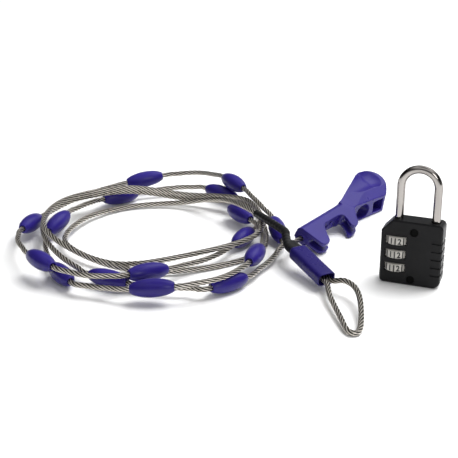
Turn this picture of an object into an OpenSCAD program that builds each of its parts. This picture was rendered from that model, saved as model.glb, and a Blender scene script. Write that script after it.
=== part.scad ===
// Cable luggage lock: a beaded steel cable with an eye, a tethered clip that
// grips the cable between two beads, and a three-dial padlock.
// Frame: the origin is the centre of the padlock's base face, +X runs along
// the padlock's width, +Y to its back, +Z up. The floor is Z = 0.

/* [Cable] */
// Diameter of the wire rope
rope_d = 2.8; // [2.6:0.05:2.8]
// Length of one bead on the rope
bead_len = 21.5; // [19:0.5:21.5]
// Largest diameter of a bead
bead_d = 9.2; // [8.4:0.1:9.2]
// Diameter of a bead at its two ends
bead_end_d = 4.2; // [3.8:0.1:4.4]
// Length of the metal crimp inside a bead
crimp_len = 12; // [8:1:14]

/* [Eye and sleeve] */
// Length of the blue sleeve over the eye's crimp
sleeve_len = 28; // [26:0.5:28]
// Width of the sleeve across the two rope runs
sleeve_w = 9.6; // [9.4:0.1:10.4]
// Height of the sleeve
sleeve_h = 6.8; // [6.6:0.1:7.4]
// Centre distance of the two rope runs inside the sleeve
run_gap = 3.2; // [3.2:0.05:3.3]
// Wall of the heat-shrink boot on the rope
boot_wall = 0.7; // [0.5:0.05:0.8]

/* [Clip] */
// Height of the oblong hole that takes the padlock's shackle
clip_hole_d = 8; // [6.4:0.2:8]
// Height of that hole's middle above the floor
hole_z = 5.2; // [5:0.1:5.6]
// Thickness of the clip's spine
clip_t = 8.4; // [8.2:0.1:8.8]
// Thickness of the clip's jaws
jaw_t = 6.2; // [6.2:0.1:6.4]
// Height of the thumb pad's rim over the jaws' top face
pad_top = 2.4; // [1.8:0.1:2.8]
// Height of the head's underside above the floor
foot_z = 0.3; // [0.1:0.05:0.5]
// Width of the cable slot in the jaws
jaw_slot = 3; // [3:0.1:3.2]

/* [Padlock] */
// Width of the padlock's case
lock_w = 30; // [30:0.5:32]
// Height of the padlock's case
lock_h = 33.3; // [33.3:0.1:34]
// Thickness of the padlock's case
lock_t = 10; // [10:0.1:10.6]
// Diameter of the shackle's rod
shackle_d = 4; // [3.8:0.05:4]
// Height of the shackle's top above the case
shackle_rise = 27.7; // [24:0.1:30]
// Centre distance of the shackle's legs
leg_gap = 18; // [17:0.1:18]
// Height from one dial to the next
dial_pitch = 7.1; // [7.1:0.05:7.2]
// Radius of a dial at its corners
dial_r = 6.78; // [6.5:0.01:6.8]
// Height of a dial's number ring
dial_h = 4; // [3.6:0.1:4.1]

/* [Hidden] */
$fn = 64;
overlap = 0.01;
blue = [0.25, 0.2, 0.62];
clip_blue = [0.3, 0.25, 0.66];
steel = [0.62, 0.61, 0.58];
black = [0.1, 0.1, 0.11];
rivet_black = [0.16, 0.16, 0.17];
shackle_grey = [0.8, 0.8, 0.8];

rope_r = rope_d / 2;
crimp_bore_r = rope_r + 0.04;
bead_bore_r = rope_r + 0.22;
boot_bore_r = rope_r + 0.24;

// ---------- vectors and tubes ----------
function unit(v) = v / norm(v);
function smooth(x) = x <= 0 ? 0 : x >= 1 ? 1 : x * x * (3 - 2 * x);
function reversed(list) = [for (i = [len(list) - 1:-1:0]) list[i]];

// A frame whose X is along, whose Y is near side and whose Z is square to both
function frame_of(origin, along, side) =
    let (ux = unit(along), uz = unit(cross(along, side)), uy = cross(uz, ux))
    [[ux.x, uy.x, uz.x, origin.x],
     [ux.y, uy.y, uz.y, origin.y],
     [ux.z, uy.z, uz.z, origin.z],
     [0, 0, 0, 1]];

// Points of a ring about centre, in the plane of the unit vectors u and v
function ring(centre, r, u, v, sides) =
    [for (k = [0:sides - 1]) centre + r * (u * cos(360 * k / sides) + v * sin(360 * k / sides))];

// Two end caps and the wall of a tube made of rings
function tube_faces(ring_count, sides) = concat(
    [[for (k = [0:sides - 1]) k]],
    [[for (k = [sides - 1:-1:0]) (ring_count - 1) * sides + k]],
    [for (i = [0:ring_count - 2], k = [0:sides - 1])
        let (a = i * sides + k, b = i * sides + (k + 1) % sides)
        each [[a, a + sides, b], [b, a + sides, b + sides]]]);

// ---------- how the rope lies ----------
// The coil's centre on the floor
coil_centre = [-143, 8.5];
// One row per turn, one value per eighth of a turn, clockwise from the back:
// back, back right, right, front right, front, front left, left, back left.
// How far the rope's centre line lies from the coil's centre:
reach = [[49, 49, 63, 85, 79, 60, 48, 53],
         [65, 64, 50, 54, 79, 74, 62, 66],
         [73, 61, 72, 81, 66, 59.5, 59, 47.5],
         [49, 58, 63, 53, 52, 59, 55.5, 45],
         [45.5, 57, 60, 46, 48, 49, 42, 42],
         [43, 45]];
// How high the centre line runs above the floor:
rise = [[6, 6.5, 8, 10.5, 5.5, 5.2, 8.5, 4.8],
        [5.4, 3, 5, 6, 11, 10, 6, 6.5],
        [12, 12, 4, 5, 5, 8.8, 9, 9.5],
        [4, 7.8, 2, 2, 4.5, 13.5, 12.7, 12.7],
        [8, 11.5, 10.5, 7, 4, 5, 4, 2],
        [4, 13.5]];
coil_points = [for (turn = [0:len(reach) - 1], i = [0:len(reach[turn]) - 1])
    let (angle = 90 - 45 * i, out = reach[turn][i])
    [coil_centre.x + out * cos(angle), coil_centre.y + out * sin(angle), rise[turn][i]]];

// The eye's frame: its origin, its direction and its side
eye_at = [-55.6, -7.5, 10];
eye_dir = unit([0.74, -0.65, -0.157]);
eye_side = unit([0.66, 0.75, 0]);
// A point on one of the two rope runs; side is -1 going in and 1 coming out
function run_at(distance, side) = eye_at + eye_dir * distance + side * eye_side * run_gap / 2;

// The clip lies beside the sleeve, its jaws leaning down
clip_at = [-63.26, 18.05, 13.4];
clip_yaw = 75.4;
clip_tilt = 24;
clip_along = [cos(clip_yaw), sin(clip_yaw), 0];
clip_to_tips = [sin(clip_yaw) * cos(clip_tilt), -cos(clip_yaw) * cos(clip_tilt), -sin(clip_tilt)];
clip_up = cross(clip_to_tips, clip_along);
// The tether's line in the clip: in from the spine's edge, and from the top face
tether_in = 3.8;
tether_z = -5.2;
tether_at = clip_at + clip_to_tips * tether_in + clip_up * tether_z;

// Centre line after the coil
lead_points = concat(
    [[-71.3, 9.6, 14.7], [-66.3, 4, 13]],
    [for (d = [-8, 0, 8, 16, 24]) run_at(d, -1)],
    [run_at(29, -1) - eye_side * 0.1],
    // the eye
    [[-30.5, -38.5, 4.2], [-21, -55, 2.8], [-15.5, -64, 1.8], [-11.5, -65.5, 1.5],
     [-10.3, -60.5, 1.9], [-12.9, -48.6, 3.8], [-17, -37, 6.3], [-21.5, -30, 7.5],
     [-27.3, -26.5, 7.8]],
    [run_at(28, 1) + eye_side * 0.4],
    [for (d = [24, 16, 8, 0, -8]) run_at(d, 1)],
    // the tether
    [[-64.2, 5, 8.8]],
    [for (d = [-8, 0, 8, 16]) tether_at + clip_along * d]);
way = concat(coil_points, lead_points);
way_count = len(way);
coil_count = len(coil_points);

// A smooth curve through the points of way; t counts the points
function way_at(i) = way[min(max(i, 0), way_count - 1)];
function curve(t) =
    let (i = min(floor(t), way_count - 2), f = t - i,
         before = way_at(i - 1), start = way_at(i), end = way_at(i + 1), after = way_at(i + 2))
    0.5 * (2 * start + (end - before) * f
        + (2 * before - 5 * start + 4 * end - after) * f * f
        + (3 * start - before - 3 * end + after) * f * f * f);
function slope(t) = (curve(t + 0.001) - curve(t - 0.001)) / 0.002;

// The beads' places along the curve, in eighths of a turn
bead_at = [1.13, 2.4, 3.49, 4.36, 5.6, 7, 8.33, 9.89,
           11.44, 12.51, 13.58, 15.36, 16.53, 17.64, 18.84, 19.89];
bead_centres = [for (t = bead_at) curve(t)];
bead_slopes = [for (t = bead_at) slope(t)];

// The rope runs straight through each bead and eases back to the curve:
// straight up to the first distance from a bead's centre, free at the second
straight_half = 11.3;
ease_end = 22;
ease_span = 10.7;
last_ease_t = 22;
function ease(point, t, k) = k == len(bead_at) ? point :
    let (away = abs(t - bead_at[k]) * norm(bead_slopes[k]),
         weight = away > ease_end ? 0 : 1 - smooth((away - straight_half) / ease_span),
         on_line = bead_centres[k] + bead_slopes[k] * (t - bead_at[k]))
    ease(weight == 0 ? point : point * (1 - weight) + weight * on_line, t, k + 1);
function rope_at(t) = t > last_ease_t ? curve(t) : ease(curve(t), t, 0);

function quarter_steps(origin, first, last) = [for (i = [first:1:last]) origin + i / 4];

// Steps along the rope: fine for the coil, coarser on the short spans of the eye
rope_start = 0.895;
coil_end = coil_count - 1;
coil_steps = 8 * coil_count - 9;
rope_steps = concat(
    [for (i = [0:coil_steps]) rope_start + i * (coil_end - rope_start) / coil_steps],
    quarter_steps(coil_end, 1, (way_count - coil_count) * 4 - 2));

// A tube of radius r along the rope's centre line, with a ring at each of ts
module sweep(ts, r, sides = 8) {
    centres = [for (t = ts) rope_at(t)];
    count = len(centres);
    points = [for (i = [0:count - 1])
        let (along = unit(centres[min(i + 1, count - 1)] - centres[max(i - 1, 0)]),
             u = unit(cross(along, [0, 0, 1])))
        each ring(centres[i], r, u, cross(along, u), sides)];
    polyhedron(points = points, faces = tube_faces(count, sides), convexity = 12);
}

module wire_rope() color(steel) sweep(rope_steps, rope_r);

// ---------- beads ----------
bead_crimp_r = 2.15;
bead_cavity_r = 2.2;
bead_cavity_half = crimp_len / 2 + 0.05;
// Half length of the whole ellipse whose ends are cut off at bead_end_d
bead_ellipse_half = bead_len / 2 / sqrt(1 - pow(bead_end_d / bead_d, 2));

// Places its children at every bead, with Z along the rope
module each_bead() for (k = [0:len(bead_at) - 1]) {
    along = unit(bead_slopes[k]);
    translate(bead_centres[k])
        rotate([0, acos(along.z), atan2(along.y, along.x)])
            children();
}
module bead_shells() color(blue) each_bead()
    rotate_extrude() polygon(concat(
        [for (i = [-12:12]) let (z = bead_len / 2 * sin(i * 7.5))
            [bead_d / 2 * sqrt(1 - pow(z / bead_ellipse_half, 2)), z]],
        [[bead_bore_r, bead_len / 2],
         [bead_bore_r, bead_cavity_half],
         [bead_cavity_r, bead_cavity_half],
         [bead_cavity_r, -bead_cavity_half],
         [bead_bore_r, -bead_cavity_half],
         [bead_bore_r, -bead_len / 2]]));
module bead_crimps() color("silver") each_bead() difference() {
    cylinder(r = bead_crimp_r, h = crimp_len, center = true);
    cylinder(r = crimp_bore_r, h = crimp_len + 2, center = true);
}

// ---------- eye crimp, sleeve and boot ----------
// Stations along the eye's X
eye_crimp_start = 3;
eye_crimp_end = 19;
sleeve_start = -2;
sleeve_end = sleeve_start + sleeve_len;
mouth_depth = 4.5;
boot_start = -9;
eye_crimp_h = 4.4;
fit = 0.05;
boot_half_h = rope_r + boot_wall + 0.15;

module eye_place() multmatrix(frame_of(eye_at, eye_dir, eye_side)) children();

// A bar along X with rounded long edges, width across Y and height across Z
module round_bar(start, end, width, height, corner_r)
    translate([start, 0, 0]) rotate([90, 0, 90]) linear_extrude(end - start) union() {
        square([width - 2 * corner_r, height], center = true);
        square([width, height - 2 * corner_r], center = true);
        for (i = [-1, 1], j = [-1, 1])
            translate([i * (width / 2 - corner_r), j * (height / 2 - corner_r)])
                circle(r = corner_r);
    }
module eye_crimp() color("silver") eye_place() difference() {
    round_bar(eye_crimp_start, eye_crimp_end, run_gap + eye_crimp_h, eye_crimp_h, 2.19);
    for (side = [-1, 1])
        translate([0, side * run_gap / 2, 0])
            rotate([0, 90, 0])
                cylinder(r = crimp_bore_r, h = 40);
}
module eye_sleeve() color(blue) eye_place() difference() {
    round_bar(sleeve_start, sleeve_end, sleeve_w, sleeve_h, 2);
    // seat of the crimp
    round_bar(eye_crimp_start - fit, eye_crimp_end + fit,
              run_gap + eye_crimp_h + 0.1, eye_crimp_h + 0.1, 2.24);
    // passage of the two rope runs
    round_bar(sleeve_start - 1, sleeve_end + 2, run_gap + rope_d + 0.3, rope_d + 0.3,
              rope_r + 0.1);
    // the open lower mouth
    round_bar(sleeve_end - mouth_depth, sleeve_end + 2, sleeve_w - 1.8, sleeve_h - 1.6, 2);
}
// Sleeves two rope ends at the eye and joins them in a flat bar
module heat_shrink_boot() color(black) difference() {
    union() {
        sweep(quarter_steps(coil_count, -2, 9), rope_r + boot_wall, 12);
        sweep(quarter_steps(way_count - 5, -6, 1), rope_r + boot_wall, 12);
        eye_place() round_bar(boot_start, sleeve_start - fit,
            run_gap + 2 * boot_half_h, 2 * boot_half_h, boot_half_h - 0.01);
    }
    sweep(quarter_steps(coil_count, -4, 12), boot_bore_r);
    sweep(quarter_steps(way_count - 5, -12, 4), boot_bore_r);
}

// ---------- clip ----------
stop_seat_r = 2.15;
stop_seat_start = 6;
slot_root_y = -9.9;
slot_len = 49;
dish_r = 13;
dish_depth = 2.3;

// Outlines as [along the spine, across it]
// The jaws' upper plates and the spine
upper_plan = [
    [-0.4, 0.4], [0.4, 0], [38, 0], [47, 1.1], [52, 2.6], [52, -6.8], [49, -7.3],
    [45.5, -8.8], [42.6, -11], [40.4, -13.2], [38, -15.4], [36, -16.8], [33.6, -17.4],
    [31.6, -16.9], [30.9, -15.4], [31.8, -13.4], [33.4, -10.8], [34, -8.8], [33.3, -7.3],
    [31, -6.5], [24.4, -6.2], [17, -6.3], [15.2, -6.9], [12.8, -9], [9.8, -12.3],
    [8.2, -14.4], [6.7, -16.2], [4.5, -17.1], [1.6, -17], [0.2, -16.2], [-0.4, -15]];
// The lower plates, whose tips reach a little further
lower_plan = [
    [-0.8, 0.4], [0.4, 0], [38, 0], [47, 1.1], [50, -7], [46, -9.4], [43.5, -10.8],
    [41, -13], [38.8, -15.6], [36.4, -17.5], [33, -18.5], [30, -18.6], [28.3, -17.9],
    [28.2, -16.4], [30.2, -14.4], [32.3, -11.6], [33.6, -9], [33, -7.3], [31, -6.4],
    [24.4, -6.1], [17, -6.2], [15.2, -6.9], [13, -9], [10.8, -12.6], [9.4, -15],
    [7.4, -17.1], [4.3, -17.8], [1.2, -17.3], [-0.6, -15.6], [-1.1, -9.7]];
// The pad and the neck
pad_plan = [
    [43, 0.3], [51, 2.3], [58, 4.2], [64.8, 6.1], [70.4, 8.2], [73, 9], [75.8, 9.4],
    [78.4, 9.4], [80.8, 9], [83, 8.3], [84.9, 7.3], [86.6, 6], [88, 4.3], [88.8, 2.4],
    [89, 0.6], [88.6, -1.4], [87.5, -3.4], [86, -5.2], [84.3, -6.7], [82, -8.5],
    [79.6, -9.9], [77.4, -10.7], [70, -9.7], [65, -8.8], [58, -7.2], [52.8, -6.1],
    [46, -6.6]];
// The underside of the head, level with the floor
foot_plan = [
    [51, -5.8], [68, -8.67], [74.8, -9.83], [75.6, -7], [75, -3], [72, -0.8],
    [60, -0.6], [52, -1.2], [48, -2.6]];
// Space over the pad's ramp up from the spine, as [along, height]
ramp_cut = [
    [40, 0.37], [43.6, 0.37], [48, 0.7], [54, 1.5], [59, pad_top - 0.4],
    [64, pad_top + 0.05], [64, 20], [40, 20]];

// X runs along the spine, -Y towards the jaws' tips, Z out of the top face
module clip_place()
    translate(clip_at) rotate([0, 0, clip_yaw]) rotate([clip_tilt, 0, 0]) children();
// The same heading, level with the floor
module flat_place() translate([clip_at.x, clip_at.y, 0]) rotate([0, 0, clip_yaw]) children();
// On the upright face that the shackle hole is in
module face_place() flat_place() translate([56, -6.63, 0]) rotate([0, 0, -9.65]) children();
// In the clip's frame, Z along the tether
module tether_place() translate([0, -tether_in, tether_z]) rotate([0, 90, 0]) children();
// An extrusion along the clip's X of a profile given as [across, height]
module along_spine(start, length)
    rotate([90, 0, 90]) translate([0, 0, start]) linear_extrude(length) children();

module tether_stop() color("silver") clip_place() tether_place() difference() {
    translate([0, 0, stop_seat_start + fit]) cylinder(r = 2.05, h = 6.5);
    translate([0, 0, 5]) cylinder(r = crimp_bore_r, h = 9);
}
module clip_plates() {
    translate([0, 0, -3]) linear_extrude(3.4) polygon(upper_plan);
    translate([0, 0, -jaw_t]) linear_extrude(jaw_t - 2.9) polygon(lower_plan);
    // deeper spine round the tether's hole
    intersection() {
        translate([0, 0, -clip_t]) linear_extrude(clip_t) polygon(upper_plan);
        translate([-0.4, -7.2, -clip_t]) cube([45.4, 8.5, clip_t]);
    }
}
module head_block() intersection() {
    union() {
        difference() {
            hull() {
                flat_place() translate([0, 0, foot_z - 1]) linear_extrude(1.6) polygon(foot_plan);
                clip_place()
                    translate([0, 0, -1.2]) linear_extrude(1.2 + pad_top) polygon(pad_plan);
            }
            clip_place()
                rotate([90, 0, 0]) linear_extrude(60, center = true) polygon(ramp_cut);
        }
        // round boss of the shackle hole
        face_place()
            translate([0, 6, hole_z])
                rotate([90, 0, 0])
                    cylinder(r = clip_hole_d / 2 + 2.7, h = 6.2);
    }
    // keeps what is above the foot
    flat_place() translate([0, -50, foot_z]) cube([100, 100, 60]);
}
module clip_cuts() {
    // cable slot through both jaws
    translate([-5, -25, -jaw_t / 2 - jaw_slot / 2]) cube([slot_len, 25 + slot_root_y, jaw_slot]);
    translate([-5, slot_root_y, -jaw_t / 2])
        rotate([0, 90, 0])
            cylinder(d = jaw_slot, h = slot_len);
    // thumb dish: a round hollow that runs out towards the neck
    translate([78.6, 2.2, pad_top - dish_depth + dish_r]) {
        sphere(r = dish_r);
        rotate([0, -87, 0]) cylinder(r = 12.6, h = 22);
    }
    // the land beside the dish falls away to the upright face
    rotate([0, 0, -7]) along_spine(48, 46)
        polygon([[4.4, pad_top + 0.01], [-8, pad_top - 3.2], [-8, 9], [4.4, 9]]);
    // chamfers along the spine's back, at the top and the bottom
    along_spine(-2, 44) polygon([[0.5, -1.1], [0.5, 0.9], [-2.4, 0.9], [-2.0, 0.4]]);
    along_spine(-2, 48)
        polygon([[1.2, -clip_t + 2.9], [1.2, -clip_t - 0.5], [-2.2, -clip_t - 0.5]]);
    // small round core hole in the notch's back wall
    translate([24.6, -2.4, -3.1]) rotate([90, 0, 0]) cylinder(d = 2.6, h = 6);
    // tether hole, the seat for its stop and the window the stop goes in by
    tether_place() {
        translate([0, 0, -3]) cylinder(r = rope_r + 0.15, h = 12);
        translate([0, 0, stop_seat_start]) cylinder(r = stop_seat_r, h = 17);
    }
    translate([14, -tether_in - 6, tether_z - stop_seat_r]) cube([9, 6, 2 * stop_seat_r]);
}
module head_cuts() {
    // oblong shackle hole
    half_shift = 1.5;
    for (x = [-half_shift, half_shift])
        translate([x, 0, hole_z])
            rotate([90, 0, 0])
                cylinder(d = clip_hole_d, h = 60, center = true);
    translate([-half_shift, -30, hole_z - clip_hole_d / 2])
        cube([2 * half_shift, 60, clip_hole_d]);
    // the hollow beside it
    translate([0, 7, 0]) rotate([90, 0, 0]) linear_extrude(12)
        polygon([[9.4, 1.7], [18, 1.7], [19.3, 8.1], [9.6, 8.1]]);
}
module clip_body() color(clip_blue) difference() {
    union() {
        clip_place() clip_plates();
        head_block();
    }
    clip_place() clip_cuts();
    face_place() head_cuts();
}

// ---------- padlock ----------
leg_x = -lock_w / 2 + 7.5;      // the long leg, which is the dials' axis
toe_x = leg_x + leg_gap;        // the short leg
dial_z = [for (i = [0:2]) 8.85 + i * dial_pitch];
dial_hub_h = dial_pitch - 0.2;
leg_hole_r = 2.05;
case_corner_r = 2.5;
case_big_corner_r = 4;          // bottom right
case_bevel = 0.8;               // depth of the bevel round each face
rivet_spots = [[1.05, 0, 28.2], [0.65, 0, 3.2]];

module at_leg() translate([leg_x, 0, 0]) children();
module at_dial(i) at_leg() translate([0, 0, dial_z[i]]) children();
module each_rivet() for (spot = rivet_spots) translate(spot) rotate([90, 0, 0]) children();

function arc(x, z, r, from, to) = [for (i = [0:8])
    let (angle = from + (to - from) * i / 8) [x + r * cos(angle), z + r * sin(angle)]];
// The case's outline, drawn in by inset on every side
function case_outline(inset) =
    let (side = lock_w / 2, small = case_corner_r, big = case_big_corner_r)
    concat(
        arc(-side + small, small, small - inset, 180, 270),
        arc(side - big, big, big - inset, 270, 360),
        arc(side - small, lock_h - small, small - inset, 0, 90),
        [[-side + 5.2 + 0.35 * inset, lock_h - inset],
         [-side + inset, lock_h - 5.8 - 0.35 * inset]]);
// A plate of the outline between two depths below the face; side is -1 for the
// front face and 1 for the rear
module case_plate(side, near, far, inset)
    translate([0, side < 0 ? -lock_t / 2 + far : lock_t / 2 - near, 0])
        rotate([90, 0, 0])
            linear_extrude(far - near)
                polygon(case_outline(inset));

module case_hollow() {
    at_leg() {
        // bore of the long leg, stepped out for the dials and the spring
        translate([0, 0, dial_z[2] + 8]) cylinder(r = leg_hole_r, h = 12);
        translate([0, 0, dial_z[2] + 3]) cylinder(r = 3.25, h = 5.05);
        translate([0, 0, dial_z[0] - 3.6]) cylinder(r = 4.45, h = 2 * dial_pitch + 7.2);
        for (z = dial_z)
            translate([0, 0, z - dial_h / 2 - 0.2]) cylinder(r = 6.95, h = dial_h + 0.4);
        translate([0, 0, 1.6]) cylinder(r = 3.3, h = 5);
    }
    // short leg's hole and its flared rim
    translate([toe_x, 0, lock_h - 5.4]) cylinder(r = leg_hole_r, h = 10);
    translate([toe_x, 0, lock_h - 0.6])
        cylinder(r1 = leg_hole_r, r2 = leg_hole_r + 0.65, h = 0.65);
    // leaf spring
    translate([leg_x + 6.7, -2.4, 5.6]) cube([1.8, 4.8, 20.6]);
    each_rivet() cylinder(r = 1.1, h = 30, center = true);
}
module case_half(side) difference() {
    union() {
        case_plate(side, case_bevel, lock_t / 2, 0);
        hull() {
            case_plate(side, case_bevel - 0.01, case_bevel + 0.01, 0);
            case_plate(side, 0, 0.02, 0.7);
        }
    }
    case_hollow();
    // dial windows
    for (z = dial_z)
        translate([leg_x - 5.2, side * lock_t / 2 - 1, z - dial_h / 2 - 0.25])
            cube([10.4, 2, dial_h + 0.5]);
    // rivet recesses
    translate([0, side * lock_t / 2, 0]) each_rivet() cylinder(r = 2.1, h = 1.8, center = true);
    // grip grooves on the right, each with a slot right through
    for (i = [0:4]) translate([10, 0, 6.6 + i * 4.2]) {
        translate([4.5, -lock_t, 0]) cube([3, 2 * lock_t, 1.1]);
        translate([0, side * lock_t / 2 - 0.5, 0]) cube([8, 1, 1.1]);
    }
}
module case_front() color(black) case_half(-1);
module case_rear() color(black) case_half(1);
module case_rivets() color(rivet_black) {
    each_rivet() cylinder(r = 1.05, h = lock_t - 1.4, center = true);
    for (side = [-1, 1])
        translate([0, side * (lock_t / 2 - 0.6), 0])
            each_rivet()
                cylinder(r = 1.95, h = 0.55, center = true);
}

module shackle() color(shackle_grey) {
    r = shackle_d / 2;
    bend_z = lock_h + shackle_rise - r - leg_gap / 2;
    leg_z = 3.9;
    tip_z = lock_h - 5;
    tip_h = 0.6;
    toe_z = tip_z + tip_h;
    at_leg() translate([0, 0, leg_z]) cylinder(r = r, h = bend_z - leg_z + overlap);
    translate([toe_x, 0, toe_z]) cylinder(r = r, h = bend_z - toe_z + overlap);
    translate([toe_x, 0, tip_z]) cylinder(r1 = r - 0.5, r2 = r, h = tip_h + overlap);
    translate([(leg_x + toe_x) / 2, 0, bend_z]) rotate([90, 0, 0])
        rotate_extrude(angle = 180) translate([leg_gap / 2, 0]) circle(r = r);
    // lugs that the dials' sleeves block or let pass
    at_leg() for (z = dial_z) intersection() {
        translate([r - 0.6, -0.75, z + 0.4]) cube([3, 1.5, 1.5]);
        cylinder(r = 3.1, h = 60);
    }
}
module shackle_ring() color("silver") at_leg() translate([0, 0, 4.2]) difference() {
    cylinder(r = 3, h = 0.6);
    translate([0, 0, -1]) cylinder(r = shackle_d / 2 + 0.02, h = 3);
    translate([-4, -1.2, -1]) cube([3, 2.4, 3]);
}
// A coil spring under the long leg
module shackle_spring() color("silver") at_leg() {
    step_angle = 20;
    count = 3 * 360 / step_angle;
    wire_r = 0.26;
    coil_r = 2.55;
    sides = 6;
    base_z = 1.92;
    height = 1.96;
    points = [for (i = [0:count])
        let (angle = i * step_angle,
             outward = [cos(angle), sin(angle), 0],
             along = unit([-sin(angle), cos(angle), 0.035]),
             centre = coil_r * outward + [0, 0, base_z + height * i / count])
        each ring(centre, wire_r, outward, cross(outward, along), sides)];
    // the rings turn the other way from those of sweep
    faces = [for (face = tube_faces(count + 1, sides)) reversed(face)];
    polyhedron(points = points, faces = faces, convexity = 8);
}

// A leaf whose three fingers bow towards the dials
finger_half = 1.9;
finger_bow = 0.9;
leaf_t = 0.25;
leaf_z = [for (i = [0:80]) 6 + 19.8 * i / 80];
function bow(z) = max([for (centre = dial_z)
    abs(z - centre) < finger_half
        ? finger_bow * pow(cos(90 * (z - centre) / finger_half), 2) : 0]);
module detent_spring() color("silver")
    translate([leg_x + 7.85, 2.1, 0]) rotate([90, 0, 0]) linear_extrude(4.2)
        polygon(concat([for (z = leaf_z) [-bow(z), z]],
                       [for (z = reversed(leaf_z)) [leaf_t - bow(z), z]]));

// A ten-sided number ring on a round hub
module dial(i) at_dial(i) difference() {
    union() {
        intersection() {
            rotate([0, 0, 18]) cylinder(r = dial_r, h = dial_h, center = true, $fn = 10);
            rotate_extrude() polygon([
                [0, -dial_h / 2], [dial_r - 0.7, -dial_h / 2], [dial_r, -dial_h / 2 + 0.5],
                [dial_r, dial_h / 2 - 0.5], [dial_r - 0.7, dial_h / 2], [0, dial_h / 2]]);
        }
        cylinder(r = 4.3, h = dial_hub_h, center = true);
    }
    cylinder(r = 3.75, h = 20, center = true);
    // groove for the sleeve's key
    translate([-4.2, -0.55, -10]) cube([2, 1.1, 20]);
    // finger notches at the ring's corners
    for (k = [0:9]) rotate([0, 0, 36 * k + 18])
        translate([dial_r + 0.15, 0, 0]) cylinder(r = 0.55, h = 10, center = true, $fn = 24);
}
module dial_upper() color("ivory") dial(2);
module dial_middle() color("ivory") dial(1);
module dial_lower() color("ivory") dial(0);

// The inner sleeve: a flange with one gate for the shackle's lug
module dial_sleeve(i) at_dial(i) difference() {
    union() {
        cylinder(r = 3.7, h = dial_hub_h, center = true);
        // key
        translate([-4.15, -0.5, -dial_hub_h / 2]) cube([1, 1, dial_hub_h]);
    }
    translate([0, 0, -10]) cylinder(r = 3.2, h = 12);
    cylinder(r = shackle_d / 2 + 0.1, h = 20, center = true);
    // gate
    translate([0, -0.95, 0]) cube([3.15, 1.9, 10]);
}
module dial_sleeve_upper() color("goldenrod") dial_sleeve(2);
module dial_sleeve_middle() color("goldenrod") dial_sleeve(1);
module dial_sleeve_lower() color("goldenrod") dial_sleeve(0);

wire_rope();
bead_shells();
bead_crimps();
eye_crimp();
eye_sleeve();
heat_shrink_boot();
tether_stop();
clip_body();
case_front();
case_rear();
case_rivets();
detent_spring();
shackle_spring();
shackle();
shackle_ring();
dial_upper();
dial_middle();
dial_lower();
dial_sleeve_upper();
dial_sleeve_middle();
dial_sleeve_lower();
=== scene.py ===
# Cable luggage lock. The lock stands on the floor (z = 0) with its shackle
# rising along +Z. The beaded wire rope lies coiled on its -X side and ends in
# an eye that reaches forward. The camera looks from the front (-Y) and above.
# Shapes are in millimetres and become metres in make() and build_rope();
# modifiers, bump depths, floor, lights and camera are in metres.
import bpy
import bmesh
import math
import numpy as np
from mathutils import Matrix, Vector


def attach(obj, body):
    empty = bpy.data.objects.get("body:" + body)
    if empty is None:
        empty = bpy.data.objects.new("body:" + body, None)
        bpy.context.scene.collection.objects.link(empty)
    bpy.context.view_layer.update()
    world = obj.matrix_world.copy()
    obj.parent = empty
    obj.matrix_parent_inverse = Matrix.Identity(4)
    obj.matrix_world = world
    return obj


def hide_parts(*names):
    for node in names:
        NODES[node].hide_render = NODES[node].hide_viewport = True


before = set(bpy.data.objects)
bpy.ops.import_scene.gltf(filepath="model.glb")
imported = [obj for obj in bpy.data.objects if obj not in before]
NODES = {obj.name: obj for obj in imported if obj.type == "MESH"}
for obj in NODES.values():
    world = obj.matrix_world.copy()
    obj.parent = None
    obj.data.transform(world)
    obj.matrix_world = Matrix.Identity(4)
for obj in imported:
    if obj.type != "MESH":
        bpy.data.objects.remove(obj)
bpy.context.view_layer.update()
MM = 0.001
UP = np.array([0, 0, 1.0])

# Dials and long shackle leg share one axis.
DIAL_X = -7.5
DIAL_PITCH = 7.1
DIAL_HEIGHTS = [8.85 + DIAL_PITCH * i for i in range(3)]  # lower, middle, upper


# ---------------------------------------------------------------- shader helpers
def feed(socket, value):
    """Links a socket to value, or sets it where value is a plain number or tuple."""
    if isinstance(value, bpy.types.NodeSocket):
        socket.id_data.links.new(value, socket)
    else:
        socket.default_value = (*value, 1) if socket.type == "RGBA" else value


def setup(node, **inputs):
    """Feeds inputs by name, with underscores for spaces."""
    for name, value in inputs.items():
        feed(node.inputs[name.replace("_", " ")], value)


def add_node(tree, kind, **inputs):
    node = tree.nodes.new("ShaderNode" + kind)
    setup(node, **inputs)
    return node


def clear_nodes(tree):
    for node in list(tree.nodes):
        tree.nodes.remove(node)


def new_material(name):
    material = bpy.data.materials.new(name)
    material.use_nodes = True
    tree = material.node_tree
    clear_nodes(tree)
    output = add_node(tree, "OutputMaterial")
    shader = add_node(tree, "BsdfPrincipled")
    feed(output.inputs[0], shader.outputs[0])
    return material, tree, shader


def noise(tree, scale, detail=3.0, rough=0.5, stretch=(1, 1, 1)):
    coords = add_node(tree, "TexCoord")
    mapping = add_node(tree, "Mapping", Scale=stretch, Vector=coords.outputs["Object"])
    texture = add_node(tree, "TexNoise", Scale=scale, Detail=detail, Roughness=rough,
                       Vector=mapping.outputs[0])
    return texture.outputs["Fac"]


NOISE_BAND = (0.3, 0.7)  # where most of a noise's values lie


def remap(tree, source, to, span=NOISE_BAND):
    """Maps span of the source onto the range `to`."""
    node = add_node(tree, "MapRange", From_Min=span[0], From_Max=span[1],
                    To_Min=to[0], To_Max=to[1], Value=source)
    return node.outputs[0]


def mix_color(tree, factor, first, second):
    node = add_node(tree, "Mix")
    node.data_type = "RGBA"
    setup(node, Factor=factor)
    feed(node.inputs[6], first)  # 6 and 7 are the colour sockets A and B
    feed(node.inputs[7], second)
    return node.outputs[2]


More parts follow.
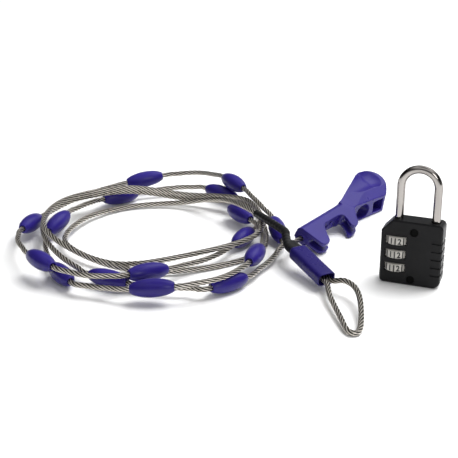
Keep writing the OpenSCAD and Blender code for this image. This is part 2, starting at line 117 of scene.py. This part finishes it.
def mottle(tree, source, first, second, span=NOISE_BAND):
    """Two colours mixed by a noise."""
    return mix_color(tree, remap(tree, source, to=(0, 1), span=span), first, second)


def calc(tree, operation, *values):
    node = add_node(tree, "Math")
    node.operation = operation
    for socket, value in zip(node.inputs, values):
        feed(socket, value)
    return node.outputs[0]


def bump(tree, shader, height, strength, depth):
    node = add_node(tree, "Bump", Strength=strength, Distance=depth, Height=height)
    setup(shader, Normal=node.outputs[0])


# ---------------------------------------------------------------- materials
def plastic(name, base, light, *, rough, grain, depth, specular, coat=0.0):
    """Moulded plastic; grain and depth are the scale and height of its fine bump."""
    material, tree, shader = new_material(name)
    cloud = noise(tree, scale=45, rough=0.55)
    setup(shader, Base_Color=mottle(tree, cloud, base, light, span=(0.35, 0.68)))
    fine = noise(tree, scale=grain, detail=4, rough=0.6)
    wear = remap(tree, noise(tree, scale=120), to=(rough - 0.02, rough + 0.04))
    setup(shader, Roughness=wear, Specular_IOR_Level=specular)
    bump(tree, shader, fine, strength=0.2, depth=depth)
    if coat:
        setup(shader, Coat_Weight=coat, Coat_Roughness=0.12)
    return material


def paint(name, base, light, *, specular):
    """Near-black satin paint with a fine grain."""
    material, tree, shader = new_material(name)
    grain = noise(tree, scale=2400, rough=0.6)
    cloud = noise(tree, scale=60)
    setup(shader,
          Base_Color=mottle(tree, cloud, base, light, span=(0.35, 0.7)),
          Roughness=remap(tree, noise(tree, scale=330, detail=4), to=(0.33, 0.44)),
          Specular_IOR_Level=specular)
    bump(tree, shader, grain, strength=0.3, depth=0.00003)
    return material


def metal(name, base, dark, *, rough):
    material, tree, shader = new_material(name)
    cloud = noise(tree, scale=260, detail=4, rough=0.6)
    setup(shader,
          Base_Color=mottle(tree, cloud, dark, base),
          Metallic=1,
          Roughness=remap(tree, cloud, to=(rough * 0.8, rough * 1.3)))
    bump(tree, shader, cloud, strength=0.25, depth=0.00001)
    return material


def chrome(name):
    """Bright plating whose base colour darkens towards the rims: a painted reflection of a dark
    room.
    """
    material, tree, shader = new_material(name)
    streaks = noise(tree, scale=240, detail=4, rough=0.6, stretch=(1, 1, 0.2))
    facing = add_node(tree, "LayerWeight", Blend=0.5).outputs["Facing"]
    tone = mottle(tree, streaks, (0.37, 0.345, 0.325), (0.44, 0.415, 0.395))
    # painted reflection: near-black is mixed into the base colour towards the rims, and a little
    # along the streaks
    edge = calc(tree, "ADD", facing, calc(tree, "MULTIPLY", streaks, 0.10))
    rim = remap(tree, edge, to=(0, 0.95), span=(0.42, 0.76))
    setup(shader,
          Base_Color=mix_color(tree, rim, tone, (0.035, 0.026, 0.020)),
          Metallic=1,
          Roughness=remap(tree, streaks, to=(0.08, 0.13)))
    bump(tree, shader, streaks, strength=0.2, depth=0.000003)
    return material


def attribute(tree, name):
    node = add_node(tree, "Attribute")
    node.attribute_name = name
    return node.outputs["Fac"]


def rope_material():
    material, tree, shader = new_material("wire_rope_strands")
    crevice = attribute(tree, "crev")
    along = attribute(tree, "along")
    around = attribute(tree, "round")
    # the wires of each strand run nearly along the rope: 4 across its outside,
    # moving on by one every 9 mm
    phase = calc(tree, "ADD", calc(tree, "MULTIPLY", around, 4 * math.tau),
                 calc(tree, "MULTIPLY", along, math.tau / 9.0))
    wire = calc(tree, "ABSOLUTE", calc(tree, "SINE", calc(tree, "MULTIPLY", phase, 0.5)))
    cloud = noise(tree, scale=90, detail=4, rough=0.6)
    tone = mottle(tree, cloud, (0.82, 0.76, 0.67), (0.99, 0.94, 0.86))
    # painted shade: the gaps between the wires are darkened in the base colour
    wire_gap_shade = remap(tree, wire, to=(0.62, 0.0), span=(0.0, 0.6))
    tone = mix_color(tree, wire_gap_shade, tone, (0.10, 0.09, 0.075))
    shadow = remap(tree, crevice, to=(0, 0.99), span=(0.06, 0.44))
    setup(shader,
          Base_Color=mix_color(tree, shadow, tone, (0.014, 0.012, 0.010)),
          Metallic=1,
          Roughness=remap(tree, cloud, to=(0.26, 0.40)))
    bump(tree, shader, wire, strength=0.6, depth=0.00008)
    return material


BEAD = plastic("bead_gloss", (0.016, 0.009, 0.140), (0.024, 0.015, 0.190),
               rough=0.30, grain=700, depth=0.00001, specular=0.28, coat=0.06)
SLEEVE = plastic("sleeve_gloss", (0.0110, 0.0070, 0.092), (0.0165, 0.0105, 0.120),
                 rough=0.27, grain=800, depth=0.00002, specular=0.18)
CLIP = plastic("clip_satin", (0.0190, 0.0115, 0.152), (0.0262, 0.0165, 0.186),
               rough=0.29, grain=1100, depth=0.00003, specular=0.36)
BOOT = plastic("heat_shrink", (0.006, 0.006, 0.0065), (0.010, 0.010, 0.011),
               rough=0.42, grain=500, depth=0.00008, specular=0.3)
CASE = paint("case_satin_paint", (0.0038, 0.0038, 0.0045), (0.0060, 0.0060, 0.0070),
             specular=0.19)
# The rivets are near-black: painted shade for the hollows of the dimples they sit in.
RIVET_PAINTED_SHADE = paint("rivet_dimple_painted_shade", (0.0015, 0.0015, 0.0016), (0.003, 0.003, 0.003),
              specular=0.05)
CHROME = chrome("shackle_plate")
STEEL = metal("crimp_steel", (0.62, 0.61, 0.59), (0.42, 0.41, 0.40), rough=0.32)
BRASS = metal("sleeve_brass", (0.72, 0.52, 0.22), (0.55, 0.38, 0.15), rough=0.28)
DIAL = plastic("dial_ivory", (0.46, 0.442, 0.405), (0.58, 0.56, 0.52),
               rough=0.28, grain=900, depth=0.00001, specular=0.45)
# The digits are print; the same ink also makes the painted shade in the notches between the
# flats.
INK_AND_NOTCH_SHADE = plastic("dial_ink_and_notch_shade", (0.012, 0.012, 0.012), (0.02, 0.02, 0.02),
              rough=0.45, grain=900, depth=0.00003, specular=0.5)
ROPE = rope_material()


# ---------------------------------------------------------------- mesh helpers
def add_object(name, data):
    obj = bpy.data.objects.new(name, data)
    bpy.context.scene.collection.objects.link(obj)
    return obj


def make(name, piece, material, smooth=True):
    """Object from a piece, a (vertices, faces) pair in millimetres."""
    verts, faces = piece
    mesh = bpy.data.meshes.new(name)
    mesh.from_pydata([tuple(float(c) * MM for c in v) for v in verts], [], faces)
    mesh.validate()
    work = bmesh.new()
    work.from_mesh(mesh)
    bmesh.ops.recalc_face_normals(work, faces=work.faces)
    work.to_mesh(mesh)
    work.free()
    for polygon in mesh.polygons:
        polygon.use_smooth = smooth
    mesh.materials.append(material)
    return add_object(name, mesh)


def register(obj, body, replaces=None):
    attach(obj, body)
    if replaces:
        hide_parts(replaces)


def mark_sharp(obj, angle):
    """Marks edges sharp where faces meet at more than angle degrees."""
    work = bmesh.new()
    work.from_mesh(obj.data)
    limit = math.radians(angle)
    for edge in work.edges:
        edge.smooth = not (len(edge.link_faces) == 2 and edge.calc_face_angle(0) > limit)
    work.to_mesh(obj.data)
    work.free()


def merged(pieces):
    """One (vertices, faces) pair from several."""
    verts, faces = [], []
    for more_verts, more_faces in pieces:
        start = len(verts)
        verts.extend(more_verts)
        faces.extend(tuple(start + i for i in face) for face in more_faces)
    return verts, faces


def loft(rings, bore=False):
    """Piece through closed rings of equal length. The end rings are capped, or
    joined to each other by a bore."""
    count = len(rings[0])
    verts = [tuple(v) for ring in rings for v in ring]
    last = (len(rings) - 1) * count
    faces = []
    for start in range(0, last, count):
        for k in range(count):
            a, b = start + k, start + (k + 1) % count
            faces.append((a, b, b + count, a + count))
    if bore:
        for a in range(count):
            b = (a + 1) % count
            faces.append((b, a, a + last, b + last))
    else:
        faces.append(tuple(range(count - 1, -1, -1)))
        faces.append(tuple(range(last, last + count)))
    return verts, faces


def hoop(centre, radius, first, second, count):
    """Circle of points in the plane of two unit vectors."""
    turns = [math.tau * k / count for k in range(count)]
    return [centre + radius * (first * math.cos(t) + second * math.sin(t)) for t in turns]


def rounded_rect(width, height, radius, steps=6):
    radius = min(radius, width / 2 - 1e-3, height / 2 - 1e-3)
    right, top = width / 2 - radius, height / 2 - radius
    points = []
    for x, y, start in ((right, top, 0), (-right, top, 90), (-right, -top, 180),
                        (right, -top, 270)):
        for i in range(steps + 1):
            angle = math.radians(start + 90 * i / steps)
            points.append((x + radius * math.cos(angle), y + radius * math.sin(angle)))
    return points


def bake(obj):
    """Applies the object's modifiers."""
    depsgraph = bpy.context.evaluated_depsgraph_get()
    mesh = bpy.data.meshes.new_from_object(obj.evaluated_get(depsgraph))
    old = obj.data
    obj.modifiers.clear()
    obj.data = mesh
    bpy.data.meshes.remove(old)
    for polygon in mesh.polygons:
        polygon.use_smooth = True


# ---------------------------------------------------------------- the rope's path, as in the CAD
def unit(vector):
    return np.asarray(vector, float) / np.linalg.norm(vector)


# Coil: stations every 45 degrees, clockwise from +Y as seen from above.
COIL_X, COIL_Y = -143.0, 8.5
COIL_REACH = [  # distance from the coil's centre
    49, 49, 63, 85, 79, 60, 48, 53, 65, 64, 50, 54, 79, 74, 62, 66, 73, 61, 72, 81, 66,
    59.5, 59, 47.5, 49, 58, 63, 53, 52, 59, 55.5, 45, 45.5, 57, 60, 46, 48, 49, 42, 42, 43, 45]
COIL_RISE = [  # height above the floor
    6, 6.5, 8, 10.5, 5.5, 5.2, 8.5, 4.8, 5.4, 3, 5, 6, 11, 10, 6, 6.5, 12, 12, 4, 5, 5,
    8.8, 9, 9.5, 4, 7.8, 2, 2, 4.5, 13.5, 12.7, 12.7, 8, 11.5, 10.5, 7, 4, 5, 4, 2, 4, 13.5]

# Frame of the sleeve where the rope's two runs into the eye lie side by side.
EYE_AT = np.array([-55.6, -7.5, 10.0])
EYE_DIR = unit([0.74, -0.65, -0.157])
EYE_SIDE = unit([0.66, 0.75, 0])
EYE_UP = np.cross(EYE_DIR, EYE_SIDE)
RUN_OFFSET = 1.6  # each run's distance from the sleeve's axis

# Frame of the clip; the rope's tether ends beside it.
CLIP_YAW, CLIP_TILT = math.radians(75.4), math.radians(24)
CLIP_AT = np.array([-63.26, 18.05, 13.4])
CLIP_DIR = np.array([math.cos(CLIP_YAW), math.sin(CLIP_YAW), 0])
CLIP_SIDE = np.array([math.sin(CLIP_YAW) * math.cos(CLIP_TILT),
                      -math.cos(CLIP_YAW) * math.cos(CLIP_TILT), -math.sin(CLIP_TILT)])
CLIP_UP = np.cross(CLIP_SIDE, CLIP_DIR)
TETHER_AT = CLIP_AT + CLIP_SIDE * 3.8 + CLIP_UP * -5.2


def eye_point(along, across, rise=0.0):
    return EYE_AT + EYE_DIR * along + EYE_SIDE * across + EYE_UP * rise


def coil_point(index, reach, rise):
    angle = math.radians(90 - 45 * index)
    return [COIL_X + reach * math.cos(angle), COIL_Y + reach * math.sin(angle), rise]


# The rope's stations. Places along the rope are given as a station number.
WAY = np.array([
    *(coil_point(i, *place) for i, place in enumerate(zip(COIL_REACH, COIL_RISE))),
    [-71.3, 9.6, 14.7], [-66.3, 4, 13],
    *(eye_point(d, -RUN_OFFSET) for d in (-8, 0, 8, 16, 24)),
    eye_point(29, -RUN_OFFSET - 0.1),
    # round the eye
    [-30.5, -38.5, 4.2], [-21, -55, 2.8], [-15.5, -64, 1.8], [-11.5, -65.5, 1.5],
    [-10.3, -60.5, 1.9], [-12.9, -48.6, 3.8], [-17, -37, 6.3], [-21.5, -30, 7.5],
    [-27.3, -26.5, 7.8],
    eye_point(28, RUN_OFFSET + 0.4),
    *(eye_point(d, RUN_OFFSET) for d in (24, 16, 8, 0, -8)),
    [-64.2, 5, 8.8],
    *(TETHER_AT + CLIP_DIR * d for d in (-8, 0, 8, 16)),
], float)

ROPE_START, ROPE_END = 0.895, 68.49  # stations
BEAD_STATIONS = [1.13, 2.4, 3.49, 4.36, 5.6, 7, 8.33, 9.89, 11.44, 12.51, 13.58, 15.36,
                 16.53, 17.64, 18.84, 19.89]
BEADS_END = 22  # station past which no bead acts on the rope
STRAIGHT_TO, BENT_FROM = 11.3, 22  # distances from a bead's middle


def way_point(station):
    """Catmull-Rom curve through the stations."""
    index = int(min(max(math.floor(station), 0), len(WAY) - 2))
    f = station - index
    a, b, c, d = (WAY[min(max(index + k, 0), len(WAY) - 1)] for k in (-1, 0, 1, 2))
    return 0.5 * (2 * b + (c - a) * f + (2 * a - 5 * b + 4 * c - d) * f * f
                  + (3 * b - a - 3 * c + d) * f ** 3)


def way_slope(station):
    return (way_point(station + 1e-3) - way_point(station - 1e-3)) / 2e-3


BEADS = [(t, way_point(t), way_slope(t)) for t in BEAD_STATIONS]


def rope_point(station):
    """The curve, drawn straight where it passes through a bead."""
    point = way_point(station)
    if station > BEADS_END:
        return point
    for bead_station, middle, slope in BEADS:
        distance = abs(station - bead_station) * np.linalg.norm(slope)
        if distance < BENT_FROM:
            x = min(max((distance - STRAIGHT_TO) / (BENT_FROM - STRAIGHT_TO), 0), 1)
            weight = 1 - x * x * (3 - 2 * x)
            straight = middle + slope * (station - bead_station)
            point = point * (1 - weight) + weight * straight
    return point


def rope_span(start, end, step):
    """Points about step apart between two stations, and each one's length along."""
    fine = np.array([rope_point(t) for t in np.arange(start, end, 1 / 80)])
    lengths = np.linalg.norm(np.diff(fine, axis=0), axis=1)
    travelled = np.concatenate([[0], np.cumsum(lengths)])
    count = max(int(travelled[-1] / step), 2)
    along = np.linspace(0, travelled[-1], count + 1)
    points = np.stack([np.interp(along, travelled, fine[:, k]) for k in range(3)], 1)
    # light smoothing takes out the resampling's own kinks
    for _ in range(2):
        points[1:-1] = 0.25 * points[:-2] + 0.5 * points[1:-1] + 0.25 * points[2:]
    return points, along


def directions(points):
    """Unit tangent at each point of a path."""
    tangents = np.gradient(points, axis=0)
    return tangents / np.linalg.norm(tangents, axis=1)[:, None]


def cross_axes(points):
    """Sideways and downward unit vectors at each point of a path."""
    tangents = directions(points)
    side = np.cross(tangents, UP)
    side /= np.linalg.norm(side, axis=1)[:, None]
    return side, np.cross(tangents, side)


# ---------------------------------------------------------------- wire rope
def build_rope():
    """Six strands laid round the rope's axis, each shown by its outer arc."""
    name = "wire_rope_strands"
    lay = 17.5              # length of one full twist
    centre_radius = 0.93    # of the circle of strand centres
    strand_radius = centre_radius / 2  # six strands just touch
    strands, arc_points, arc_degrees = 6, 8, 208
    crevice_depth = 0.46

    points, along = rope_span(ROPE_START, ROPE_END, 0.75)
    side, down = cross_axes(points)
    profile = []  # radius, angle, place round the arc, strand, crevice
    for strand in range(strands):
        for j in range(arc_points):
            place = j / (arc_points - 1)
            angle = math.radians(arc_degrees * (place - 0.5))
            x = centre_radius + strand_radius * math.cos(angle)
            y = strand_radius * math.sin(angle)
            radius = math.hypot(x, y)
            depth = (centre_radius + strand_radius - radius) / crevice_depth
            profile.append((radius, math.atan2(y, x) + strand * math.tau / strands, place,
                            strand / strands, min(1, max(0, depth))))
    radii, angles, places, strand_ids, crevices = np.array(profile).T

    count = len(profile)
    twist = angles[None, :] + (math.tau * along / lay)[:, None]
    spokes = (side[:, None, :] * np.cos(twist)[..., None]
              + down[:, None, :] * np.sin(twist)[..., None])
    rings = (points[:, None, :] + radii[None, :, None] * spokes).reshape(-1, 3)
    start = np.arange(len(points) - 1)[:, None] * count
    k = np.arange(count)[None, :]
    a = (start + k).ravel()
    b = (start + (k + 1) % count).ravel()
    quads = np.stack([a, b, b + count, a + count], 1)

    # each end is a fan about the rope's axis
    total = len(rings)
    last = total - count
    caps = [(total, (k + 1) % count, k) for k in range(count)]
    caps += [(total + 1, last + k, last + (k + 1) % count) for k in range(count)]
    mesh = bpy.data.meshes.new(name)
    verts = np.vstack([rings, points[0], points[-1]]) * MM
    mesh.from_pydata(verts.tolist(), [], quads.tolist() + caps)
    for label, values in (("crev", np.tile(crevices, len(points))),
                          ("round", np.tile(places, len(points))),
                          ("strand", np.tile(strand_ids, len(points))),
                          ("along", np.repeat(along, count))):
        layer = mesh.attributes.new(label, "FLOAT", "POINT")
        layer.data.foreach_set("value", np.concatenate([values, [0, 0]]).astype(np.float32))
    mesh.polygons.foreach_set("use_smooth", [True] * len(mesh.polygons))
    mesh.materials.append(ROPE)
    register(add_object(name, mesh), "cable", "wire_rope")


# ---------------------------------------------------------------- beads
def build_beads():
    """Barrel beads with rounded lips, bored for the rope."""
    half, belly_radius, end_radius = 10.75, 4.6, 2.1
    # half length of the full ellipse that narrows to end_radius at the bead's end
    ellipse = half / math.sqrt(1 - (end_radius / belly_radius) ** 2)
    steps = 16  # from middle to end
    barrel = []  # radius, place along the axis
    for i in range(-steps, steps + 1):
        z = (half - 0.28) * math.sin(math.radians(i * 90 / steps))
        barrel.append((belly_radius * math.sqrt(1 - (z / ellipse) ** 2), z))
    rim = barrel[-1][0]
    lip = [(rim - 0.10, half - 0.09), (rim - 0.30, half), (1.72, half),
           (1.56, half - 0.12), (1.54, half - 1.0)]
    profile = [(radius, -z) for radius, z in lip[::-1]] + barrel + lip

    pieces = []
    for _, middle, slope in BEADS:
        axis = unit(slope)
        side = unit(np.cross(axis, UP))
        down = np.cross(axis, side)
        rings = [hoop(middle + axis * z, radius, side, down, 48) for radius, z in profile]
        pieces.append(loft(rings, bore=True))
    beads = make("beads", merged(pieces), BEAD)
    mark_sharp(beads, 60)
    register(beads, "cable", "bead_shells")


# ---------------------------------------------------------------- sleeve and boot at the eye
# Rounded sections across the eye's frame: along, width, height, corner radius.
SLEEVE_SECTIONS = [
    # face and lip towards the coil
    (-1.2, 7.75, 4.55, 2.2), (-1.95, 7.85, 4.7, 2.2), (-2.0, 8.2, 5.2, 2.1),
    (-1.85, 8.8, 5.9, 2.05), (-1.45, 9.3, 6.45, 2.0), (-0.8, 9.53, 6.73, 2.0),
    # body
    (0.3, 9.6, 6.8, 2.0), (8, 9.6, 6.8, 2.0), (16, 9.6, 6.8, 2.0), (24.6, 9.6, 6.8, 2.0),
    # lip towards the eye, then the recess inside it
    (25.5, 9.55, 6.75, 2.0), (25.9, 9.35, 6.55, 1.95), (26.0, 8.95, 6.15, 1.8),
    (25.85, 8.45, 5.7, 1.7), (25.3, 8.15, 5.4, 1.6), (20.2, 7.9, 5.2, 1.5),
    (20.0, 7.3, 4.5, 1.4), (19.9, 6.4, 3.2, 1.4), (19.3, 6.3, 3.1, 1.4)]
BOOT_SECTIONS = [(-9.5, 6.6, 4.1, 2.0), (-7, 7.3, 4.4, 2.15), (-4, 7.6, 4.5, 2.2),
                 (-1.3, 7.7, 4.5, 2.2)]


def eye_loft(sections):
    return loft([[eye_point(along, x, y) for x, y in rounded_rect(width, height, radius)]
                 for along, width, height, radius in sections])


def build_sleeve():
    sleeve = make("eye_sleeve_shell", eye_loft(SLEEVE_SECTIONS), SLEEVE)
    register(sleeve, "cable", "eye_sleeve")


def boot_arm(start, end, start_radius, end_radius):
    """Slightly rippled tube round the rope between two stations."""
    points, along = rope_span(start, end, 0.5)
    rings = []
    for point, length, side, down in zip(points, along, *cross_axes(points)):
        radius = start_radius + (end_radius - start_radius) * length / along[-1]
        radius += 0.06 * math.sin(length * 2.3) + 0.04 * math.sin(length * 5.1 + 1)
        rings.append(hoop(point, radius, side, down, 20))
    return loft(rings)


def build_boot():
    """Two arms and a flat body, fused into one skin."""
    arms = [boot_arm(41.5, 44.4, 2.0, 2.25), boot_arm(63.2, 65.25, 2.25, 2.0)]
    boot = make("heat_shrink_tube", merged([*arms, eye_loft(BOOT_SECTIONS)]), BOOT)
    remesh = boot.modifiers.new("r", "REMESH")
    remesh.mode = "VOXEL"
    remesh.voxel_size = 0.00026
    smooth = boot.modifiers.new("s", "SMOOTH")
    smooth.factor = 0.5
    smooth.iterations = 5
    bake(boot)
    register(boot, "cable", "heat_shrink_boot")


# ---------------------------------------------------------------- shackle
def shackle_lug(height):
    """Small block on the +X side of the long leg, just above a dial's middle."""
    corners = ((1.5, -0.75), (3.0, -0.75), (3.0, 0.75), (1.5, 0.75))
    verts = [(DIAL_X + x, y, height + rise) for rise in (0.4, 1.9) for x, y in corners]
    return verts, [(3, 2, 1, 0), (4, 5, 6, 7), (0, 1, 5, 4), (1, 2, 6, 5), (2, 3, 7, 6),
                   (3, 0, 4, 7)]


def build_shackle():
    long_x, short_x = DIAL_X, 10.5
    bar_radius = 2.0
    long_foot, short_foot, leg_top = 4.1, 28.9, 50.0
    bend_radius = (short_x - long_x) / 2
    bend_x = (long_x + short_x) / 2
    path = [(long_x, 0, z) for z in np.linspace(long_foot, leg_top, 24)]
    path += [(bend_x - bend_radius * math.cos(a), 0, leg_top + bend_radius * math.sin(a))
             for a in np.linspace(0, math.pi, 65)[1:-1]]
    path += [(short_x, 0, z) for z in np.linspace(leg_top, short_foot, 14)]
    path = np.array(path)
    tangents = directions(path)
    back = np.array([0, 1.0, 0])

    def ring(point, tangent, radius):
        return hoop(point, radius, back, np.cross(tangent, back), 40)

    # both feet are chamfered
    rings = [ring(np.array([long_x, 0, long_foot - 0.2]), tangents[0], bar_radius - 0.2)]
    rings += [ring(point, tangent, bar_radius) for point, tangent in zip(path, tangents)]
    rings.append(ring(np.array([short_x, 0, short_foot - 0.6]), tangents[-1],
                      bar_radius - 0.5))
    lugs = [shackle_lug(height) for height in DIAL_HEIGHTS]
    bar = make("shackle_bar", merged([loft(rings), *lugs]), CHROME)
    mark_sharp(bar, 35)
    register(bar, "shackle", "shackle")


# ---------------------------------------------------------------- CAD nodes that stay
def dress_node(name, material):
    """One smooth-shaded material, with doubled vertices welded."""
    obj = NODES[name]
    obj.data.materials.clear()
    obj.data.materials.append(material)
    for polygon in obj.data.polygons:
        polygon.material_index = 0
        polygon.use_smooth = True
    obj.modifiers.new("weld", "WELD").merge_threshold = 0.00001
    return obj


def finish_node(name, material, bevel_width=None, segments=None):
    obj = dress_node(name, material)
    if bevel_width:
        bevel = obj.modifiers.new("bevel", "BEVEL")
        bevel.width = bevel_width
        bevel.segments = segments
        bevel.limit_method = "ANGLE"
        bevel.angle_limit = math.radians(32)
        bevel.miter_outer = "MITER_ARC"
        bevel.use_clamp_overlap = True
        bevel.harden_normals = False
    normals = obj.modifiers.new("wn", "WEIGHTED_NORMAL")
    normals.keep_sharp = False
    normals.weight = 60


def finish_clip():
    """The clip's edges are softened by remeshing."""
    clip = dress_node("clip_body", CLIP)
    remesh = clip.modifiers.new("remesh", "REMESH")
    remesh.mode = "VOXEL"
    remesh.voxel_size = 0.00024
    remesh.use_smooth_shade = True
    smooth = clip.modifiers.new("smooth", "SMOOTH")
    smooth.factor = 0.5
    smooth.iterations = 6


def finish_cad():
    for name in ("bead_crimps", "eye_crimp", "tether_stop", "detent_spring",
                 "shackle_spring", "shackle_ring"):
        finish_node(name, STEEL)
    for level in ("upper", "middle", "lower"):
        finish_node("dial_sleeve_" + level, BRASS)
    for name in ("case_front", "case_rear"):
        finish_node(name, CASE, bevel_width=0.00022, segments=2)
    finish_node("case_rivets", RIVET_PAINTED_SHADE, bevel_width=0.0002, segments=3)
    for level in ("upper", "middle", "lower"):
        finish_node("dial_" + level, DIAL, bevel_width=0.00012, segments=2)
    finish_clip()


# ---------------------------------------------------------------- dial figures and painted notch shade
DIAL_SIDES = 10
DIAL_STEP = 360 / DIAL_SIDES
DIAL_RADIUS = 6.78  # to the corners between flats
FLAT_RADIUS = DIAL_RADIUS * math.cos(math.radians(DIAL_STEP / 2))
FRONT = 270  # degrees from +X, so towards -Y; a corner lies here


def dial_axes(degrees):
    """Outward and rightward unit vectors on the dial's rim, seen from outside."""
    angle = math.radians(degrees)
    outward = np.array([math.cos(angle), math.sin(angle), 0])
    return outward, np.cross(UP, outward)


def digit_mesh(digit):
    curve = bpy.data.curves.new("fig", "FONT")
    curve.body = str(digit)
    curve.align_x = "CENTER"
    curve.align_y = "CENTER"
    curve.size = 3.9
    curve.extrude = 0.05
    curve.offset = 0.14  # thickens the strokes
    curve.resolution_u = 4
    text = add_object("fig", curve)
    depsgraph = bpy.context.evaluated_depsgraph_get()
    mesh = bpy.data.meshes.new_from_object(text.evaluated_get(depsgraph))
    points = [tuple(v.co) for v in mesh.vertices]
    faces = [tuple(p.vertices) for p in mesh.polygons]
    bpy.data.objects.remove(text)
    bpy.data.meshes.remove(mesh)
    bpy.data.curves.remove(curve)
    return points, faces


def dial_digit(digit, centre):
    """A digit in the middle of its flat; 1 is on the flat next to the front corner."""
    stretch_x, stretch_y, sink = 0.95, 1.06, 0.02
    points, faces = digit_mesh(digit)
    outward, right = dial_axes(FRONT - DIAL_STEP / 2 + DIAL_STEP * (digit - 1))
    middle = centre + outward * (FLAT_RADIUS - sink)
    xs, ys, _ = zip(*points)
    mid_x, mid_y = (max(xs) + min(xs)) / 2, (max(ys) + min(ys)) / 2
    verts = [middle + right * (x - mid_x) * stretch_x + UP * (y - mid_y) * stretch_y
             + outward * z for x, y, z in points]
    return verts, faces


def dial_line(index, centre):
    """A dark strip where two flats meet: painted shade for the notch between them."""
    outward, right = dial_axes(FRONT + DIAL_STEP * index)
    verts = [centre + outward * radius + right * x + UP * z
             for radius in (6.5, DIAL_RADIUS - 0.015)
             for z in (-1.75, 1.75)
             for x in (-0.21, 0.21)]
    return verts, [(0, 1, 3, 2), (4, 6, 7, 5), (0, 4, 5, 1), (2, 3, 7, 6), (0, 2, 6, 4),
                   (1, 5, 7, 3)]


def build_figures(body, height):
    centre = np.array([DIAL_X, 0, height])
    pieces = []
    for i in range(DIAL_SIDES):
        pieces += [dial_digit(i, centre), dial_line(i, centre)]
    figures = make(body + "_ink_and_notch_shade", merged(pieces), INK_AND_NOTCH_SHADE, smooth=False)
    register(figures, body)


# ---------------------------------------------------------------- floor, light, camera
def build_floor():
    half = 6
    mesh = bpy.data.meshes.new("floor")
    mesh.from_pydata([(-half, -half, 0), (half, -half, 0), (half, half, 0),
                      (-half, half, 0)], [], [(0, 1, 2, 3)])
    material, tree, shader = new_material("floor_white")
    cloud = noise(tree, scale=3, detail=2)
    setup(shader,
          Base_Color=mix_color(tree, cloud, (0.90, 0.90, 0.90), (0.91, 0.91, 0.91)),
          Roughness=0.6, Specular_IOR_Level=0.2)
    mesh.materials.append(material)
    add_object("floor", mesh)


def aim(obj, place, target):
    obj.location = place
    to_target = Vector(target) - Vector(place)
    obj.rotation_euler = to_target.to_track_quat("-Z", "Y").to_euler()


def area_light(name, place, *, size, power):
    light = bpy.data.lights.new(name, "AREA")
    light.energy = power
    light.shape = "RECTANGLE"
    light.size = light.size_y = size
    obj = add_object(name, light)
    aim(obj, place, target=(-0.1, 0.0, 0.0))
    return obj


def build_lights():
    key = area_light("key", (0.34, 0.48, 1.25), size=0.95, power=25)
    key.visible_glossy = False
    area_light("fill", (0.9, -0.9, 0.7), size=0.5, power=3)
    area_light("back", (0.3, 1.15, 1.05), size=1.0, power=3.2)


def build_world():
    """Even grey light, with a banded room that only reflections see."""
    world = bpy.data.worlds.new("studio")
    bpy.context.scene.world = world
    world.use_nodes = True
    tree = world.node_tree
    clear_nodes(tree)
    output = add_node(tree, "OutputWorld")
    background = add_node(tree, "Background", Strength=1.0)
    coords = add_node(tree, "TexCoord")
    axes = add_node(tree, "SeparateXYZ", Vector=coords.outputs["Generated"])
    ramp = add_node(tree, "ValToRGB")
    feed(ramp.inputs[0], remap(tree, axes.outputs[2], to=(0, 1), span=(-0.2, 1.0)))
    stops = ramp.color_ramp.elements
    stops[0].position = 0.0
    stops[0].color = (0.95, 0.95, 0.96, 1)
    stops[1].position = 1.0
    stops[1].color = (0.16, 0.155, 0.15, 1)
    # bands from low to high: position, brightness
    for position, grey in ((0.22, 0.90), (0.30, 0.45), (0.40, 0.08), (0.55, 0.05),
                           (0.64, 0.30), (0.76, 0.50), (0.86, 0.90), (0.94, 0.55)):
        stops.new(position).color = (grey, grey, grey * 1.01, 1)
    rays = add_node(tree, "LightPath")
    # the room is darker to either side of the table
    sideways = calc(tree, "ABSOLUTE", calc(tree, "SUBTRACT", axes.outputs[0], 0.08))
    fade = remap(tree, sideways, to=(1.0, 0.12), span=(0.45, 0.85))
    room = mix_color(tree, fade, (0, 0, 0), ramp.outputs[0])
    color = mix_color(tree, rays.outputs["Is Glossy Ray"], (0.44, 0.44, 0.44), room)
    setup(background, Color=color)
    feed(output.inputs[0], background.outputs[0])


def build_camera():
    data = bpy.data.cameras.new("camera")
    data.sensor_width = 36
    data.lens = 86.9
    data.clip_start = 0.01
    camera = add_object("camera", data)
    aim(camera, (0.08861, -0.49617, 0.23465), target=(-0.1079, 0.0322, 0.0))
    bpy.context.scene.camera = camera
    bpy.context.scene.view_settings.view_transform = "Standard"


build_rope()
build_beads()
build_sleeve()
build_boot()
build_shackle()
finish_cad()
for dial, dial_height in zip(("dial_upper", "dial_middle", "dial_lower"), DIAL_HEIGHTS[::-1]):
    build_figures(dial, dial_height)
build_floor()
build_lights()
build_world()
build_camera()
